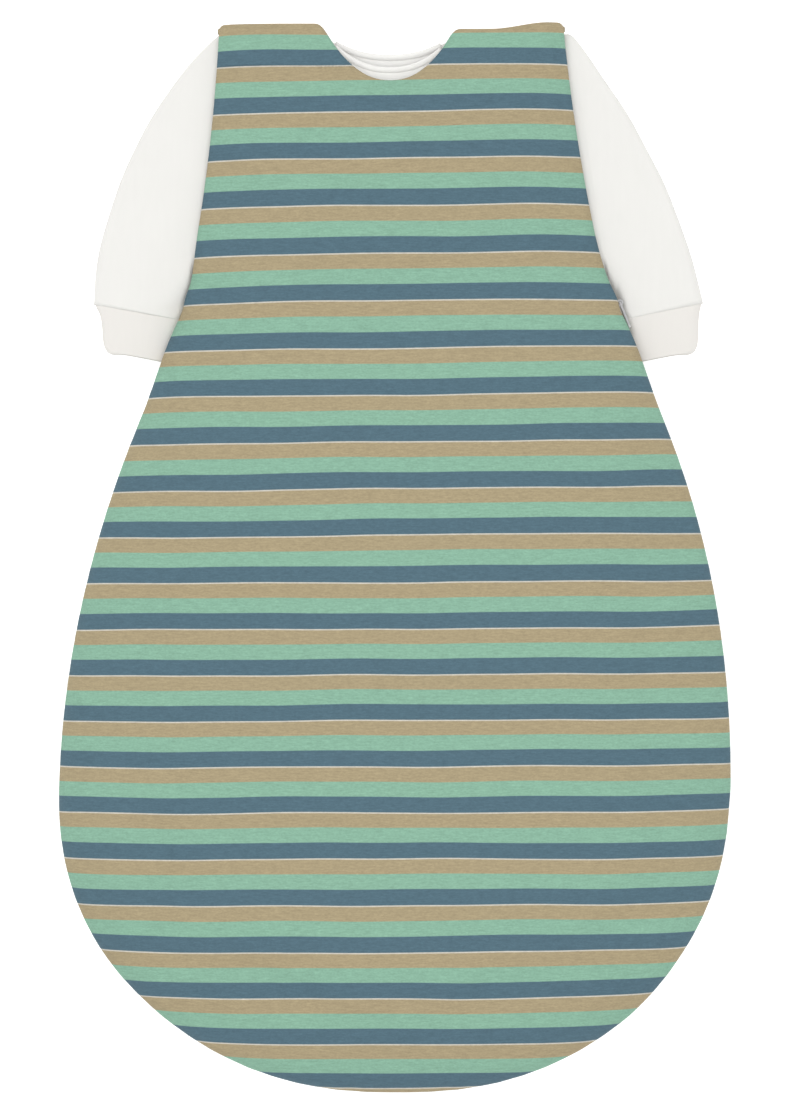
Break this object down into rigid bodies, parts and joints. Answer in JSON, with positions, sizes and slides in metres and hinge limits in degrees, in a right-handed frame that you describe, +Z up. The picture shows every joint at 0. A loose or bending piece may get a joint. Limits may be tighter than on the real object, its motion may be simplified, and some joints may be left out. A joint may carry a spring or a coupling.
{
  "type": "baby sleeping bag",
  "caption": "Pear-shaped two-layer baby sleeping bag: padded striped sleeveless outer bag with side zip and snapped shoulders over an inner bag with long sleeves.",
  "frame": {"origin": "on the floor, under the middle of the bag as it lies on its back", "axes": "+Y from the foot end to the head end, +X towards the zip side, +Z up out of the front"},
  "size_m": [0.4068, 0.65, 0.046],
  "materials": {
    "striped_jersey": "fine jersey knit, heathered mint, blue and beige stripes with a thin white line; fibre not known",
    "white_jersey": "fine white jersey; fibre not known",
    "rib_jersey": "fine off-white rib knit",
    "wadding": null,
    "zip_tape": "woven herringbone tape",
    "zip_teeth": "moulded, slight gloss",
    "zip_metal": "polished, silver",
    "snap_metal": null
  },
  "bodies": {
    "root": {"front_shell": "striped_jersey", "front_wadding": "wadding", "front_lining": "white_jersey", "back_shell": "striped_jersey", "back_wadding": "wadding", "back_lining": "white_jersey", "left_shoulder_tab": "striped_jersey", "right_shoulder_tab": "striped_jersey", "left_inner_snap_stud": "snap_metal", "left_outer_snap_stud": "snap_metal", "right_inner_snap_stud": "snap_metal", "right_outer_snap_stud": "snap_metal", "inner_front": "white_jersey", "inner_back": "white_jersey", "neck_binding_front": "rib_jersey", "neck_binding_back": "rib_jersey", "zip_tape_back": "zip_tape", "zip_teeth_back": "zip_teeth", "zip_top_stop_back": "zip_metal", "zip_bottom_stop": "zip_metal"},
    "opening_corner": {"corner_shell": "striped_jersey", "corner_wadding": "wadding", "corner_lining": "white_jersey", "zip_tape_front": "zip_tape", "zip_teeth_front": "zip_teeth", "zip_top_stop_front": "zip_metal", "right_inner_snap_socket": "snap_metal", "right_outer_snap_socket": "snap_metal"},
    "left_strap": {"left_strap_shell": "striped_jersey", "left_strap_wadding": "wadding", "left_strap_lining": "white_jersey", "left_inner_snap_socket": "snap_metal", "left_outer_snap_socket": "snap_metal"},
    "left_arm": {"left_sleeve": "white_jersey", "left_cuff": "rib_jersey"},
    "right_arm": {"right_sleeve": "white_jersey", "right_cuff": "rib_jersey"},
    "slider": {"zip_slider": "zip_metal"},
    "pull": {"zip_pull": "zip_metal"}
  },
  "joints": [
    {"name": "zip_travel", "type": "hinge", "parent": "root", "child": "slider", "pos_m": [-0.7894, -0.2203, 0.018], "axis": [0, 0, -1], "range_deg": [0, 16.3]},
    {"name": "pull_swing", "type": "hinge", "parent": "slider", "child": "pull", "pos_m": [0.13615, 0.15461, 0.018], "axis": [0, 0, 1], "range_deg": [0, 150]},
    {"name": "corner_open", "type": "hinge", "parent": "root", "child": "opening_corner", "pos_m": [-0.014, 0.2935, 0.0463], "axis": [0.4543, -0.8909, 0], "range_deg": [0, 100]},
    {"name": "left_strap_open", "type": "hinge", "parent": "root", "child": "left_strap", "pos_m": [-0.06, 0.297, 0.0313], "axis": [1, 0, 0], "range_deg": [0, 135]},
    {"name": "left_sleeve_lift", "type": "hinge", "parent": "root", "child": "left_arm", "pos_m": [-0.1072, 0.318, 0.0189], "axis": [0.1379, 0.9899, 0.033], "range_deg": [0, 45]},
    {"name": "right_sleeve_lift", "type": "hinge", "parent": "root", "child": "right_arm", "pos_m": [0.1072, 0.318, 0.0189], "axis": [0.1384, -0.9897, -0.0359], "range_deg": [0, 45]}
  ]
}
